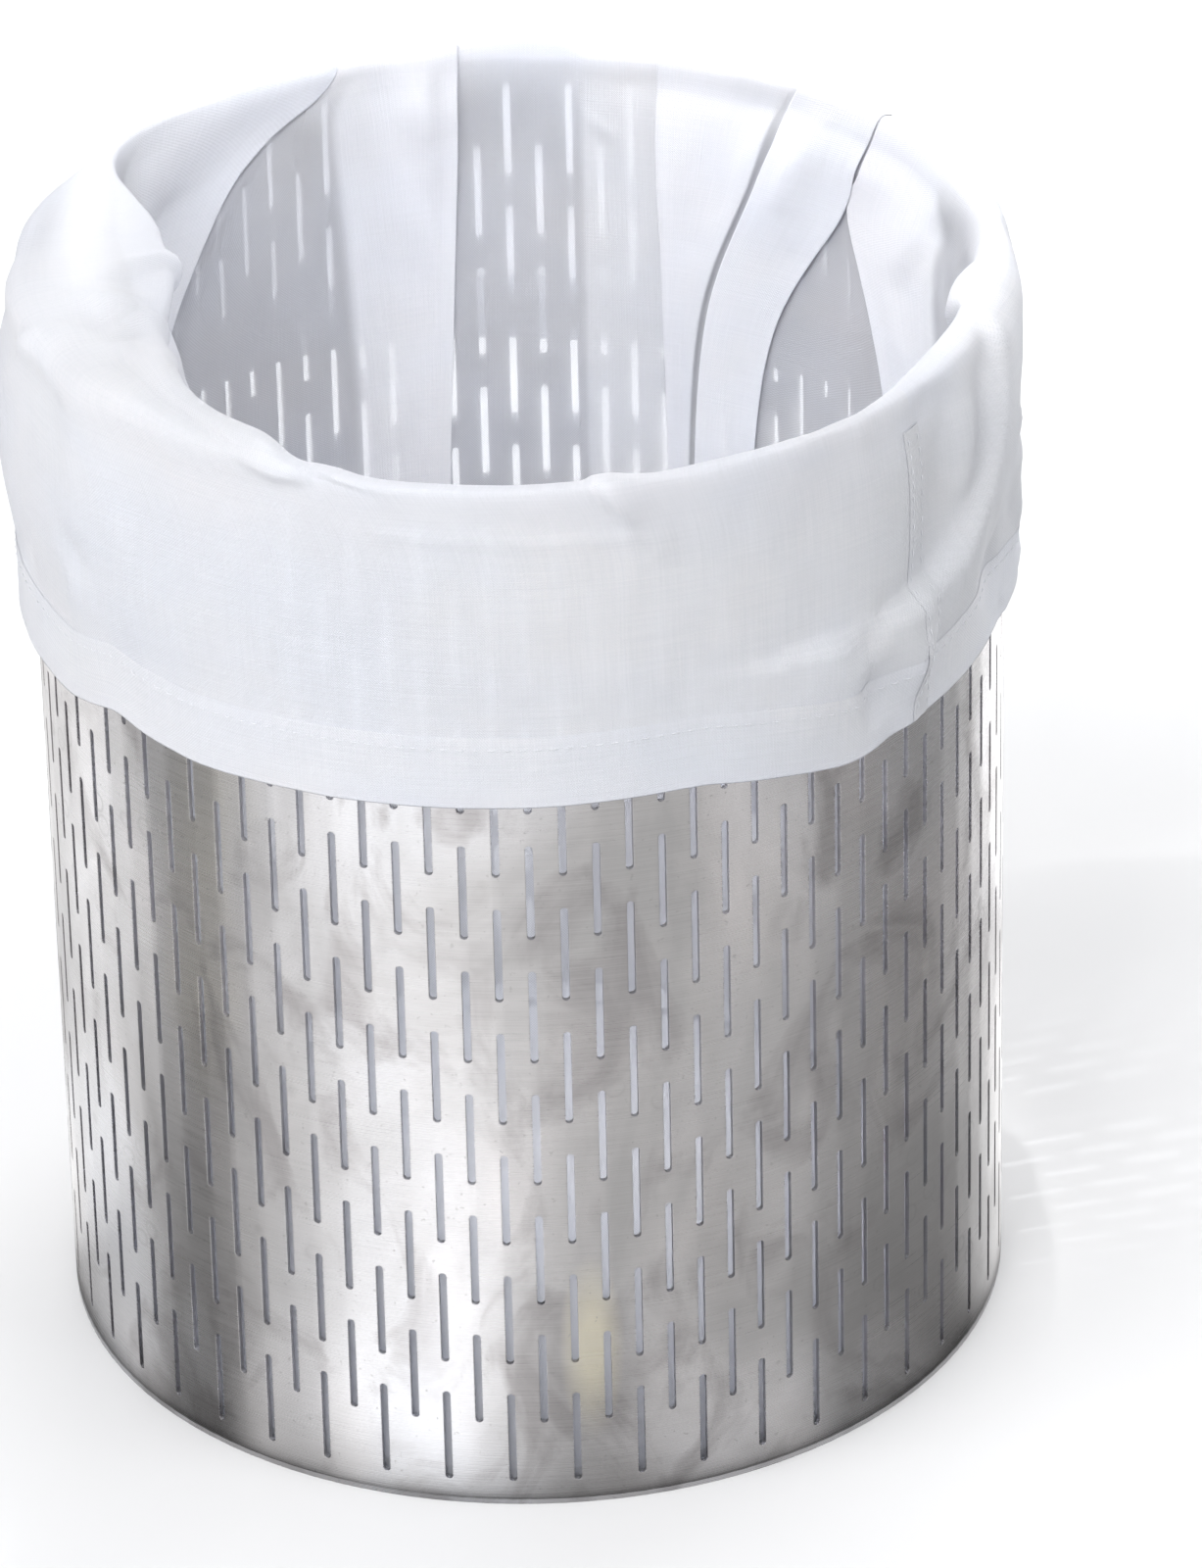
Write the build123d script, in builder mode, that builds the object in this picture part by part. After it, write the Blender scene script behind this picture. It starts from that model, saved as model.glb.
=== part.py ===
"""Slotted stainless cheese mold with its press-cloth bag turned over the rim.

Millimetres, +Z up, origin at the middle of the ring that the wall stands on.
Angles round the mold are measured from the front (-Y) towards the right (+X).
"""

import os
from math import cos, degrees, radians, sin

from build123d import *

# Slotted wall: one rolled sheet, butt welded along a single seam
wall_diameter = 190.0
wall_height = 223.0
sheet = 1.0

# Slot pattern: upright slots in staggered columns, one column left out for the weld
columns = 94
slot_length = 20.4
slot_width = 1.5
row_pitch = 27.4
long_rows = 8
short_rows = long_rows - 1
seam_angle = 157.7
weld_gap = 1.2
weld_crown = 0.25

# Drain plate, tack welded inside the foot of the wall
plate_thickness = 1.5
plate_clearance = 0.4
plate_underside = 1.5
drain_hole_diameter = 3.0
drain_rings = 7
drain_ring_step = 11.5
drain_holes_in_first_ring = 6
tack_count = 12
tack_radius = 1.4

# Cloth bag: a tube with a disc sewn into its foot, turned over the rim as a cuff
cloth = 0.8
lining_gap = 0.5
rest_gap = 0.3
cuff_gap = 0.7
cuff_bulge = 2.6
cuff_foot = 158.5
hem_height = 15.0
floor_seam_width = 7.0
side_seam_angle = 50.5
side_seam_width = 5.5
thread = 0.4
lay_gap = 0.03
hem_thread_inset = 1.8
side_thread_inset = 1.0

wall_radius = wall_diameter / 2
bore_radius = wall_radius - sheet
plate_top = plate_underside + plate_thickness
bag_foot = plate_top + rest_gap
lining_foot = bag_foot + 2 * cloth
lining_outer = bore_radius - lining_gap
lining_inner = lining_outer - cloth
cuff_inner = wall_radius + cuff_gap
cuff_outer = cuff_inner + cloth
fold_radius = (cuff_inner - lining_outer) / 2
fold_center = wall_height - 0.4
hem_top = cuff_foot + hem_height
bulge_foot = hem_top + 0.5


def column_angle(number):
    """Angle of a slot column, counted round from the weld."""
    return seam_angle + number * 360 / columns


def outward(angle):
    return Vector(sin(radians(angle)), -cos(radians(angle)), 0)


def rightward(angle):
    return Vector(cos(radians(angle)), sin(radians(angle)), 0)


def facing_plane(angle, radius):
    """Plane that faces straight out of the mold at an angle, with its Y axis up."""
    return Plane(origin=outward(angle) * radius, x_dir=rightward(angle), z_dir=outward(angle))


def section_plane(angle):
    """Plane through the axis of the mold: its X is the radius and its Y is the height."""
    return Plane(origin=(0, 0, 0), x_dir=outward(angle), z_dir=rightward(angle) * -1)


def ring_section(inner, outer, low, high):
    """A rectangle on a section plane, ready to turn round the axis."""
    with Locations(((inner + outer) / 2, (low + high) / 2)):
        Rectangle(outer - inner, high - low)


def cuff_strip(angle, width, depth, thickness):
    """A strip up the bulge of the cuff, lying a stated depth outside the cuff's inner face."""
    turn = degrees(width / cuff_outer)
    inner = cuff_inner + depth
    with BuildSketch(section_plane(angle - turn / 2)) as section:
        with BuildLine():
            ThreePointArc(
                (inner, bulge_foot),
                (inner + cuff_bulge, (bulge_foot + fold_center) / 2),
                (inner, fold_center),
            )
            offset(amount=thickness, side=Side.RIGHT)
        make_face()
    revolve(section.sketch, axis=Axis.Z, revolution_arc=turn)


def keep(piece, name):
    piece.part.label = name
    export_step(piece.part, f"parts/{name}.step")


os.makedirs("parts", exist_ok=True)

# Slotted wall
with BuildPart() as slotted_wall:
    with BuildSketch():
        Circle(wall_radius)
        Circle(bore_radius, mode=Mode.SUBTRACT)
    extrude(amount=wall_height)
    for column in range(1, columns):
        rows = short_rows if column % 2 else long_rows
        with BuildSketch(facing_plane(column_angle(column), bore_radius - sheet)):
            with Locations((0, wall_height / 2)):
                with GridLocations(0, row_pitch, 1, rows):
                    SlotOverall(slot_length, slot_width, rotation=90)
    extrude(amount=3 * sheet, mode=Mode.SUBTRACT)
    with BuildSketch():
        with Locations(outward(seam_angle) * wall_radius):
            Rectangle(weld_gap, 4 * sheet, rotation=seam_angle)
    extrude(amount=wall_height, mode=Mode.SUBTRACT)
keep(slotted_wall, "slotted_wall")

# Weld bead that closes the rolled sheet
with BuildPart() as wall_weld:
    with BuildSketch():
        with Locations(outward(seam_angle) * (wall_radius - sheet / 2)):
            RectangleRounded(weld_gap, sheet + 2 * weld_crown, weld_crown, rotation=seam_angle)
    extrude(amount=wall_height)
keep(wall_weld, "wall_weld")

# Drain plate
with BuildPart() as drain_plate:
    with BuildSketch(Plane.XY.offset(plate_underside)):
        Circle(bore_radius - plate_clearance)
        Circle(drain_hole_diameter / 2, mode=Mode.SUBTRACT)
        for ring in range(1, drain_rings + 1):
            with PolarLocations(ring * drain_ring_step, ring * drain_holes_in_first_ring):
                Circle(drain_hole_diameter / 2, mode=Mode.SUBTRACT)
    extrude(amount=plate_thickness)
keep(drain_plate, "drain_plate")

# Tack welds in the corner under the drain plate
with BuildPart() as plate_tacks:
    with Locations((0, 0, plate_underside)):
        with PolarLocations(bore_radius, tack_count):
            Sphere(tack_radius)
        Cylinder(
            bore_radius,
            tack_radius,
            align=(Align.CENTER, Align.CENTER, Align.MAX),
            mode=Mode.INTERSECT,
        )
keep(plate_tacks, "plate_tacks")

# Bag wall: the lining, the fold over the rim and the cuff, in one piece of cloth
with BuildPart() as bag_wall:
    with BuildSketch(section_plane(0)):
        with BuildLine():
            lining = Line((lining_outer, lining_foot), (lining_outer, fold_center))
            fold = ThreePointArc(
                lining @ 1,
                (lining_outer + fold_radius, fold_center + fold_radius),
                (cuff_inner, fold_center),
            )
            bulge = ThreePointArc(
                fold @ 1,
                (cuff_inner + cuff_bulge, (bulge_foot + fold_center) / 2),
                (cuff_inner, bulge_foot),
            )
            Line(bulge @ 1, (cuff_inner, cuff_foot))
            offset(amount=cloth, side=Side.LEFT)
        make_face()
    revolve(axis=Axis.Z)
keep(bag_wall, "bag_wall")

# Bag floor
with BuildPart() as bag_floor:
    with BuildSketch(Plane.XY.offset(bag_foot)):
        Circle(lining_outer)
    extrude(amount=cloth)
keep(bag_floor, "bag_floor")

# Foot of the lining, turned in and sewn flat on the floor of the bag
with BuildPart() as floor_seam:
    with BuildSketch(section_plane(0)):
        ring_section(
            lining_inner - floor_seam_width,
            lining_outer,
            bag_foot + cloth,
            lining_foot,
        )
    revolve(axis=Axis.Z)
keep(floor_seam, "floor_seam")

# Hem turned up round the foot of the cuff, and its row of stitching
with BuildPart() as cuff_hem:
    with BuildSketch(section_plane(0)):
        ring_section(cuff_outer, cuff_outer + cloth, cuff_foot, hem_top)
    revolve(axis=Axis.Z)
keep(cuff_hem, "cuff_hem")

with BuildPart() as hem_thread:
    with BuildSketch(section_plane(0)):
        with Locations((cuff_outer + cloth + thread / 2, hem_top - hem_thread_inset)):
            Circle(thread / 2)
    revolve(axis=Axis.Z)
keep(hem_thread, "hem_thread")

# Side seam of the cuff, and the row of stitching up each side of it
with BuildPart() as side_seam:
    cuff_strip(side_seam_angle, side_seam_width, cloth + lay_gap, cloth)
keep(side_seam, "side_seam")

stitch_turn = degrees((side_seam_width / 2 - side_thread_inset) / cuff_outer)
with BuildPart() as side_threads:
    for side in (-1, 1):
        cuff_strip(side_seam_angle + side * stitch_turn, thread, 2 * (cloth + lay_gap), thread)
keep(side_threads, "side_threads")
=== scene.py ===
from math import atan2, cos, degrees, pi, radians, sin

import bpy
import numpy as np
from mathutils import Matrix, Vector, noise


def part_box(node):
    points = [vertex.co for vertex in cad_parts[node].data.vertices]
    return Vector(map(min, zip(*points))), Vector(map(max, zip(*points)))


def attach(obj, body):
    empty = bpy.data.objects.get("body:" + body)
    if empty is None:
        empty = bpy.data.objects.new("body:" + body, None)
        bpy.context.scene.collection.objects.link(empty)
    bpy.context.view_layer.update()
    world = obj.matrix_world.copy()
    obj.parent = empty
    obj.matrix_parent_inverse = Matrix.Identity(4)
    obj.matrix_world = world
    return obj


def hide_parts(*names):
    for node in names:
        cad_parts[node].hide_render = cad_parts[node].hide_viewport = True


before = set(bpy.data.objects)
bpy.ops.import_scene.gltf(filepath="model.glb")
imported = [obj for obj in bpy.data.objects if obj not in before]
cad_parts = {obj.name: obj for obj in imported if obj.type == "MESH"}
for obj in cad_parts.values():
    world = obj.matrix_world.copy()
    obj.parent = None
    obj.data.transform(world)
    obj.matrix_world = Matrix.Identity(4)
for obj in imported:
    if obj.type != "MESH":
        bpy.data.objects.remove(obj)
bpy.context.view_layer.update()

# Metres, +Z up, the front of the mold faces -Y. Angles round the mold are in degrees,
# from the front towards the right (+X). Sizes on the cloth are in millimetres until the
# mesh is made.

MM = 0.001

wall_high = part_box("slotted_wall")[1]
wall_radius = wall_high[0] / MM
rim_height = wall_high[2] / MM
lining_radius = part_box("bag_floor")[1][0] / MM - 0.3
bag_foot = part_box("bag_floor")[0][2] / MM
cuff_radius = wall_radius + 0.9
cuff_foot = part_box("cuff_hem")[0][2] / MM
hem_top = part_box("cuff_hem")[1][2] / MM
seam_low, seam_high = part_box("side_seam")
side_seam_angle = degrees(atan2(seam_low[0] + seam_high[0], -seam_low[1] - seam_high[1]))


# ---- mesh helpers


def new_object(name, vertices, faces, material):
    mesh = bpy.data.meshes.new(name)
    mesh.from_pydata([tuple(v) for v in vertices], [], [tuple(f) for f in faces])
    mesh.materials.append(material)
    for face in mesh.polygons:
        face.use_smooth = True
    mesh.update()
    piece = bpy.data.objects.new(name, mesh)
    bpy.context.scene.collection.objects.link(piece)
    return piece


def grid_faces(rows, columns, closed):
    """Quads of a grid of vertices stored row by row; closed joins the last column to the first."""
    faces = []
    for row in range(rows - 1):
        here, there = row * columns, (row + 1) * columns
        for column in range(columns if closed else columns - 1):
            after = (column + 1) % columns
            faces.append((here + column, here + after, there + after, there + column))
    return faces


def ring_point(reach, turn, height):
    """Point at a reach from the mold's axis, turned in radians from the front to the right."""
    return reach * sin(turn), -reach * cos(turn), height


def add_uv(piece, uv, closed_width=None):
    """UVs in metres of flat cloth; closed_width carries U on past the last column of a tube."""
    layer = piece.data.uv_layers.new(name="cloth")
    for face in piece.data.polygons:
        wraps = closed_width and max(uv[v][0] for v in face.vertices) > closed_width / 2
        for loop, vertex in zip(face.loop_indices, face.vertices):
            u, v = uv[vertex]
            if wraps and u < closed_width / 4:
                u += closed_width
            layer.data[loop].uv = (u, v)


def add_attribute(piece, name, values):
    """A number for each vertex, which the piece's material reads."""
    layer = piece.data.attributes.new(name, "FLOAT", "POINT")
    layer.data.foreach_set("value", np.asarray(values, dtype=np.float32).ravel())


# ---- node helpers


class Nodes:
    """A material's node tree, with short calls to add and join nodes."""

    def __init__(self, name):
        self.material = bpy.data.materials.new(name)
        self.material.use_nodes = True
        self.tree = self.material.node_tree
        self.tree.nodes.clear()
        self.output = self.add("OutputMaterial")

    def add(self, kind, **settings):
        node = self.tree.nodes.new("ShaderNode" + kind)
        for name, value in settings.items():
            setattr(node, name, value)
        return node

    def put(self, node, socket, value):
        """Joins a value's socket to the node's input, or sets the input to a plain value."""
        target = node.inputs[socket]
        if isinstance(value, bpy.types.NodeSocket):
            self.tree.links.new(value, target)
        else:
            target.default_value = value

    def fill(self, node, inputs):
        for socket, value in inputs.items():
            self.put(node, socket, value)

    def surface(self, shader):
        """Ends the tree with a shader and gives the material."""
        self.put(self.output, "Surface", shader.outputs[0])
        return self.material

    def math(self, operation, first, second=0.0):
        node = self.add("Math", operation=operation)
        self.fill(node, {0: first, 1: second})
        return node.outputs[0]

    def times(self, first, second):
        return self.math("MULTIPLY", first, second)

    def plus(self, first, second):
        return self.math("ADD", first, second)

    def stretched(self, vector, scale):
        mapping = self.add("Mapping")
        self.fill(mapping, {"Vector": vector, "Scale": scale})
        return mapping.outputs[0]

    def position(self, scale=(1, 1, 1)):
        """Places on the piece in metres, stretched by a scale along each axis."""
        return self.stretched(self.add("TexCoord").outputs["Object"], scale)

    def cloth_position(self, scale):
        """The same for places on the cloth laid flat."""
        return self.stretched(self.add("UVMap", uv_map="cloth").outputs["UV"], scale)

    def attribute(self, name):
        return self.add("Attribute", attribute_name=name).outputs["Fac"]

    def noise(self, vector, scale, detail=3.0, roughness=0.5, distortion=0.0):
        node = self.add("TexNoise")
        self.fill(node, {"Vector": vector, "Scale": scale, "Detail": detail,
                         "Roughness": roughness, "Distortion": distortion})
        return node.outputs["Fac"]

    def near(self, place, reach, stretch):
        """1 at a place on the piece, fading to 0 at a reach from it."""
        away = self.add("VectorMath", operation="DISTANCE")
        self.fill(away, {0: self.position(stretch), 1: tuple(a * b for a, b in zip(place, stretch))})
        return self.remap(away.outputs["Value"], 0.3 * reach, reach, 1.0, 0.0)

    def remap(self, value, low, high, to_low=0.0, to_high=1.0):
        node = self.add("MapRange", clamp=True)
        self.fill(node, {"Value": value, "From Min": low, "From Max": high,
                         "To Min": to_low, "To Max": to_high})
        return node.outputs[0]

    def mix(self, factor, first, second):
        """A blend of two colours. The node's colour sockets come after those for other types."""
        node = self.add("Mix", data_type="RGBA")
        self.fill(node, {0: factor, 6: first, 7: second})
        return node.outputs[2]

    def bump(self, height, strength, distance, normal=None):
        node = self.add("Bump")
        self.fill(node, {"Height": height, "Strength": strength, "Distance": distance})
        if normal is not None:
            self.put(node, "Normal", normal)
        return node.outputs[0]


# ---- materials

# A faint straw-coloured mark low on the front of the wall: angle in degrees, then metres.
# It is taller than it is wide.
HEAT_ANGLE, HEAT_HEIGHT, HEAT_REACH = 6.5, 0.036, 0.0065
HEAT_STRETCH = (1, 1, 0.3)
HEAT_MARK = ring_point(wall_radius * MM, radians(HEAT_ANGLE), HEAT_HEIGHT)


def brushed_steel(name, grain=(40.0, 40.0, 5200.0)):
    """Sheet brushed round the mold, with cloudy patches, faint tints and dried drops."""
    n = Nodes(name)
    streaks = n.noise(n.position(grain), 1.0, detail=4.0, roughness=0.6)
    fine = n.noise(n.position((grain[0] * 3, grain[1] * 3, grain[2] * 1.8)), 1.0, detail=2.0)
    clouds = n.noise(n.position((1, 1, 0.7)), 17.0, detail=5.0, roughness=0.6, distortion=0.5)
    blots = n.noise(n.position((1.3, 1.3, 0.9)), 31.0, detail=4.0, roughness=0.55, distortion=1.2)
    warmth = n.noise(n.position((1, 1, 0.6)), 12.0, detail=3.0, roughness=0.55)
    specks = n.noise(n.position(), 900.0, detail=1.0)

    # Dried drops: thin rings, kept to a few places
    drops = n.add("TexVoronoi", feature="F1")
    n.fill(drops, {"Vector": n.position(), "Scale": 115.0})
    ring = n.math("ABSOLUTE", n.math("SUBTRACT", drops.outputs["Distance"], 0.24))
    ring = n.remap(ring, 0.0, 0.05, 1.0, 0.0)
    patches = n.remap(n.noise(n.position(), 19.0, detail=2.0), 0.55, 0.63)
    ring = n.times(ring, patches)

    tint = n.mix(n.remap(warmth, 0.36, 0.64), (0.66, 0.665, 0.70, 1), (0.71, 0.67, 0.665, 1))
    straw = n.remap(n.noise(n.position((1.6, 1.6, 0.5)), 15.0, detail=2.0), 0.62, 0.78, 0.0, 0.55)
    tint = n.mix(straw, tint, (0.74, 0.68, 0.54, 1))
    shade = n.mix(n.remap(clouds, 0.36, 0.64), tint, (0.45, 0.44, 0.44, 1))
    shade = n.mix(n.remap(blots, 0.51, 0.66, 0.0, 0.75), shade, (0.31, 0.29, 0.295, 1))
    mark = n.near(HEAT_MARK, HEAT_REACH, HEAT_STRETCH)
    heat = n.times(mark, n.remap(clouds, 0.3, 0.5, 0.25, 0.75))
    shade = n.mix(heat, shade, (0.93, 0.86, 0.66, 1))
    colour = n.mix(n.times(ring, 0.30), shade, (0.36, 0.35, 0.35, 1))
    colour = n.mix(n.remap(specks, 0.70, 0.78, 0.0, 0.5), colour, (0.30, 0.29, 0.29, 1))
    colour = n.mix(n.remap(streaks, 0.25, 0.8, 0.0, 0.30), colour, (0.84, 0.83, 0.83, 1))

    # The face inside the wall is rougher, and its colour is darkened as painted shade where it lies behind
    # the cloth
    place = n.add("SeparateXYZ")
    n.put(place, 0, n.position())
    across = n.times(place.outputs[0], place.outputs[0])
    deep = n.times(place.outputs[1], place.outputs[1])
    from_middle = n.math("SQRT", n.plus(across, deep))
    outer = (wall_radius - 0.25) * MM
    inner_face = n.remap(from_middle, outer - 0.55 * MM, outer, 1.0, 0.0)
    colour = n.mix(n.times(inner_face, 0.25), colour, (0.22, 0.22, 0.23, 1))

    roughness = n.remap(clouds, 0.3, 0.75, 0.22, 0.36)
    roughness = n.plus(roughness, n.remap(streaks, 0.3, 0.7, -0.05, 0.07))
    roughness = n.plus(roughness, n.times(ring, 0.12))
    roughness = n.plus(roughness, n.times(inner_face, 0.2))

    rounded = n.add("Bevel", samples=4)
    n.put(rounded, "Radius", 0.00025)
    grain_height = n.plus(streaks, n.times(fine, 0.5))
    grooves = n.bump(grain_height, 0.22, 0.0002, rounded.outputs[0])
    dents = n.bump(n.noise(n.position((1, 1, 0.6)), 13.0, detail=2.0), 0.5, 0.004, grooves)

    shader = n.add("BsdfPrincipled")
    n.fill(shader, {
        "Metallic": 1.0, "Base Color": colour, "Roughness": roughness, "Normal": dents,
        "Anisotropic": 0.6, "Anisotropic Rotation": 0.25,
    })
    tangent = n.add("Tangent", direction_type="RADIAL", axis="Z")
    n.put(shader, "Tangent", tangent.outputs[0])
    return n.surface(shader)


def weld_steel(name):
    """Ground weld: dull, rippled, with a faint straw tint."""
    n = Nodes(name)
    ripples = n.noise(n.position((60, 60, 900)), 1.0, detail=3.0)
    heat = n.noise(n.position(), 60.0, detail=2.0)
    colour = n.mix(n.remap(heat, 0.35, 0.7), (0.55, 0.54, 0.55, 1), (0.60, 0.52, 0.42, 1))
    shader = n.add("BsdfPrincipled")
    n.fill(shader, {
        "Metallic": 1.0, "Base Color": colour,
        "Roughness": n.remap(ripples, 0.3, 0.7, 0.35, 0.55),
        "Normal": n.bump(ripples, 0.5, 0.0003),
    })
    return n.surface(shader)


def press_cloth(name):
    """Fine open plain weave: lets some light straight through and scatters the rest.

    The attribute cover is 0 where a single thickness hangs open and 1 where it is dense."""
    n = Nodes(name)
    thread_pitch = 0.00055
    cover = n.attribute("cover")
    flat = n.cloth_position((1, 1, 1))
    wobble = n.noise(flat, 160.0, detail=2.0)
    split = n.add("SeparateXYZ")
    n.put(split, 0, flat)
    waves = []
    for axis in (0, 1):
        shifted = n.plus(split.outputs[axis], n.times(wobble, thread_pitch * 0.9))
        waves.append(n.math("SINE", n.times(shifted, 2 * pi / thread_pitch)))
    weave = n.times(waves[0], waves[1])

    # Slubs: threads that are thicker for a stretch, both ways of the cloth
    warp = n.noise(n.cloth_position((2600, 45, 1)), 1.0, detail=2.0, roughness=0.6)
    weft = n.noise(n.cloth_position((45, 2600, 1)), 1.0, detail=2.0, roughness=0.6)
    slubs = n.plus(warp, weft)
    clouds = n.noise(flat, 24.0, detail=4.0, roughness=0.55)
    stains = n.noise(n.cloth_position((1, 0.5, 1)), 15.0, detail=3.0, roughness=0.5)

    tint = n.mix(n.remap(clouds, 0.36, 0.66), (0.845, 0.865, 0.93, 1), (0.885, 0.885, 0.915, 1))
    tint = n.mix(n.remap(stains, 0.52, 0.72, 0.0, 0.5), tint, (0.875, 0.845, 0.865, 1))
    colour = n.mix(n.remap(slubs, 0.75, 1.3, 0.0, 0.55), tint, (0.77, 0.785, 0.83, 1))
    # Painted shade: this attribute greys the cloth and lets less light through it where it lies in shade
    painted_shade = n.attribute("painted_shade")
    colour = n.mix(painted_shade, colour, (0.64, 0.645, 0.665, 1))

    height = n.plus(n.times(weave, 0.35), n.times(slubs, 1.2))
    threads = n.bump(height, 0.35, 0.00035)
    creasing = n.noise(n.cloth_position((1, 0.6, 1)), 70.0, detail=3.0, distortion=0.4)
    creased = n.bump(creasing, 0.22, 0.002, threads)

    front = n.add("BsdfPrincipled")
    n.fill(front, {
        "Base Color": colour, "Roughness": n.remap(weave, -1.0, 1.0, 0.72, 0.92),
        "Normal": creased, "Specular IOR Level": 0.25, "Sheen Weight": 0.2,
        "Sheen Roughness": 0.5,
    })
    through = n.add("BsdfTranslucent")
    n.fill(through, {"Color": colour, "Normal": creased})
    cloth = n.add("MixShader")
    glow = n.times(n.remap(painted_shade, 0.0, 1.0, 1.0, 0.5), n.remap(cover, 0.0, 1.0, 0.30, 0.10))
    n.fill(cloth, {0: glow, 1: front.outputs[0], 2: through.outputs[0]})
    clear = n.add("BsdfTransparent")
    n.put(clear, "Color", (0.96, 0.97, 1.0, 1))
    gaps = n.plus(weave, n.times(slubs, -0.8))
    gaps = n.remap(gaps, -1.8, 0.6, 0.75, 1.25)
    openness = n.times(gaps, n.remap(cover, 0.0, 1.0, 0.38, 0.045))
    open_cloth = n.add("MixShader")
    n.fill(open_cloth, {0: openness, 1: cloth.outputs[0], 2: clear.outputs[0]})
    return n.surface(open_cloth)


def sewing_thread(name):
    n = Nodes(name)
    twist = n.noise(n.position(), 2500.0, detail=2.0)
    shader = n.add("BsdfPrincipled")
    n.fill(shader, {
        "Base Color": n.mix(twist, (0.76, 0.77, 0.81, 1), (0.84, 0.85, 0.88, 1)),
        "Roughness": n.remap(twist, 0.3, 0.7, 0.5, 0.75), "Normal": n.bump(twist, 0.6, 0.0001),
    })
    return n.surface(shader)


# ---- the cloth's shape

# The bag is one sheet. Its levels run from the floor of the bag up the inside, over the rim
# and down to the foot of the cuff: height, and rows of mesh up to the next level.
LEVELS = {
    "floor": (bag_foot + 1.5, 10), "low": (60, 14), "waist": (125, 16),
    "chest": (170, 14), "neck": (202, 8), "throat": (213, 6),
    "inner shoulder": (219.5, 6),
    "inner brow": (rim_height + 1.6, 8),
    "crown": (rim_height + 2.0, 8),
    "outer brow": (rim_height + 0.7, 6),
    "outer shoulder": (rim_height - 5, 9),
    "cuff top": (208, 12), "cuff middle": (190, 12),
    "hem top": (hem_top, 10), "hem foot": (cuff_foot + 0.6, 0),
}
level_names = list(LEVELS)
crown = level_names.index("crown")
rim_row = sum(rows for _, rows in list(LEVELS.values())[:crown])
cuff_row = rim_row + LEVELS["crown"][1] + LEVELS["outer brow"][1]

# Flat pleats, in order round the bag: the edge the strip of cloth is folded under at, half the
# layers of cloth it lies above the rest, and the angles of its two edges at some levels.
PLEATS = [
    # right-hand cloth
    ("end", 0.6, {
        "floor": (115, 117), "low": (113, 118), "waist": (111, 121), "chest": (112, 125),
        "neck": (113, 132.6), "throat": (112, 129.8), "inner shoulder": (111, 128.3),
        "inner brow": (110, 127.2), "outer brow": (112, 127.2), "outer shoulder": (119, 125),
        "hem foot": (121, 124),
    }),
    # broad panel on the right of the back
    ("both", 0.6, {
        "floor": (150.5, 155), "low": (150, 156), "waist": (149, 157.2), "chest": (145, 155),
        "neck": (133.2, 147.5), "throat": (130.3, 144.6), "inner shoulder": (128.6, 143.5),
        "inner brow": (127.5, 142), "outer brow": (127.5, 142), "outer shoulder": (129, 136),
        "hem foot": (128, 133),
    }),
    # panel beside it
    ("end", 0.55, {
        "floor": (157, 158.5), "low": (157, 159), "waist": (158, 160.5), "chest": (156, 161),
        "neck": (148.5, 161.5), "inner shoulder": (144.5, 161.5), "inner brow": (143, 161.5),
        "outer brow": (143, 161.5), "hem foot": (140, 160),
    }),
    # upright panel left of the middle of the back
    ("start", 1, {
        "floor": (190, 193), "low": (190, 196), "waist": (189.3, 195.5), "chest": (188, 196.5),
        "neck": (187, 198), "inner brow": (186.5, 199.3), "outer brow": (186.5, 199.3),
        "hem foot": (188, 197),
    }),
    # slanting flap on the left of the back
    ("start", 1, {
        "floor": (241, 243), "waist": (241, 244), "chest": (238, 245), "neck": (222, 240),
        "throat": (213.5, 236), "inner shoulder": (206, 234), "inner brow": (202.3, 232),
        "outer brow": (204, 230), "outer shoulder": (224, 236), "cuff top": (234, 242),
        "hem foot": (238, 245),
    }),
]
# Millimetres from one layer of a pleat to the next, the part of it left at each level where
# the pleats are pressed flat, and the degrees over which the open side of a pleat lies down
layer_gap = 0.62
pressed = {"throat": 1, "inner shoulder": 0.7, "inner brow": 0.4, "crown": 0.35,
           "outer shoulder": 0.5, "hem top": 0.5}
ease_angle = 8

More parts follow.
